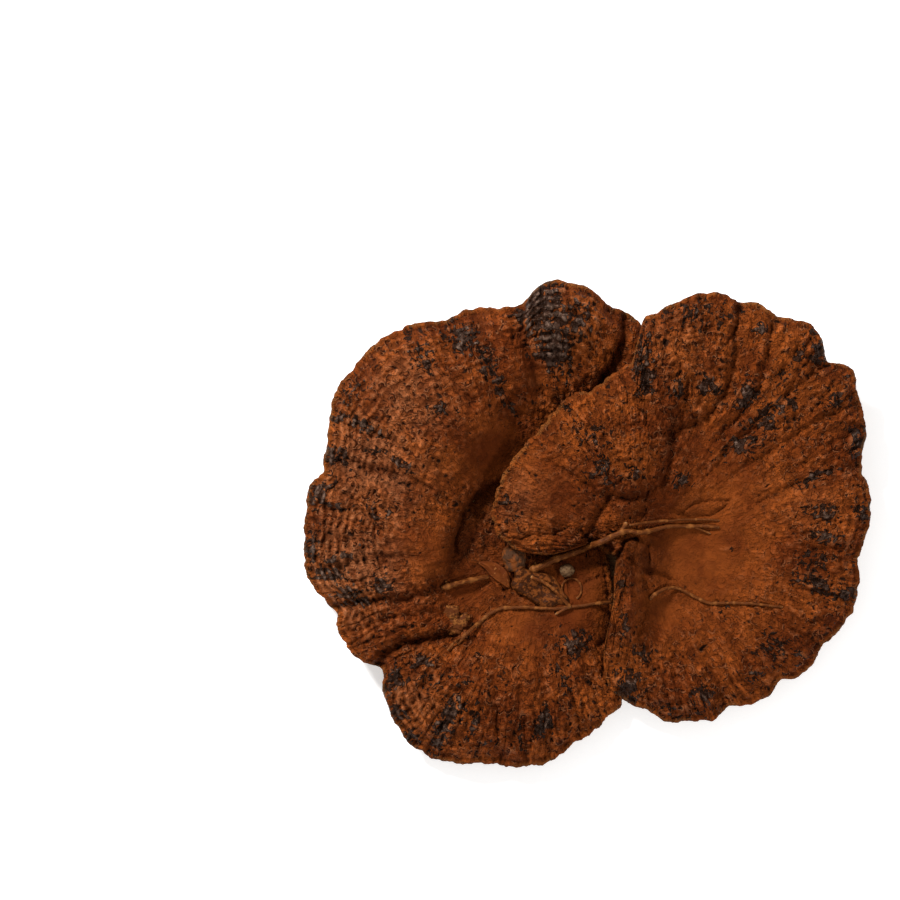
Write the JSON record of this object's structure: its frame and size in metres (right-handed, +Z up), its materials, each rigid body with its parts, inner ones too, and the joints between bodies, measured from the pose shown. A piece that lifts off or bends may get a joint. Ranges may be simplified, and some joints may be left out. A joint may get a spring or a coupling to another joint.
{
  "type": "dried reishi mushroom",
  "caption": "Dried woody reishi bracket: fan-shaped wrinkled caps grown together over one cut-off stem, with twigs and scraps grown in at the centre.",
  "frame": {"origin": "centre of the bounding box, at the height of the stem's cut face", "axes": "+Z up out of the caps' upper skins, +X from the left cap towards the right cap, +Y away from the lower lobe"},
  "size_m": [0.2279, 0.195, 0.0374],
  "materials": {
    "cap_skin": "dry rusty brown skin, matte, with grey-black varnished patches",
    "dark_skin": "grey-black dry skin, slightly glossy",
    "stem_flesh": "pale brown fibrous cut flesh, matte",
    "twig_bark": "dry brown bark, matte",
    "dry_leaf": "dry leaf, matte",
    "grit": "dull dark grit"
  },
  "bodies": {
    "root": {"left_cap": "cap_skin", "right_cap": "cap_skin", "young_cap": "dark_skin", "cup_lobe": "cap_skin", "stem": "stem_flesh", "main_twig": "twig_bark", "side_twig": "twig_bark", "long_twig": "twig_bark", "far_twig": "twig_bark", "forked_twig": "twig_bark", "stout_twig": "twig_bark", "thin_twig": "twig_bark", "tendril": "twig_bark", "leaf_scrap": "dry_leaf", "bark_flake": "dark_skin", "pebble": "grit"}
  },
  "joints": []
}
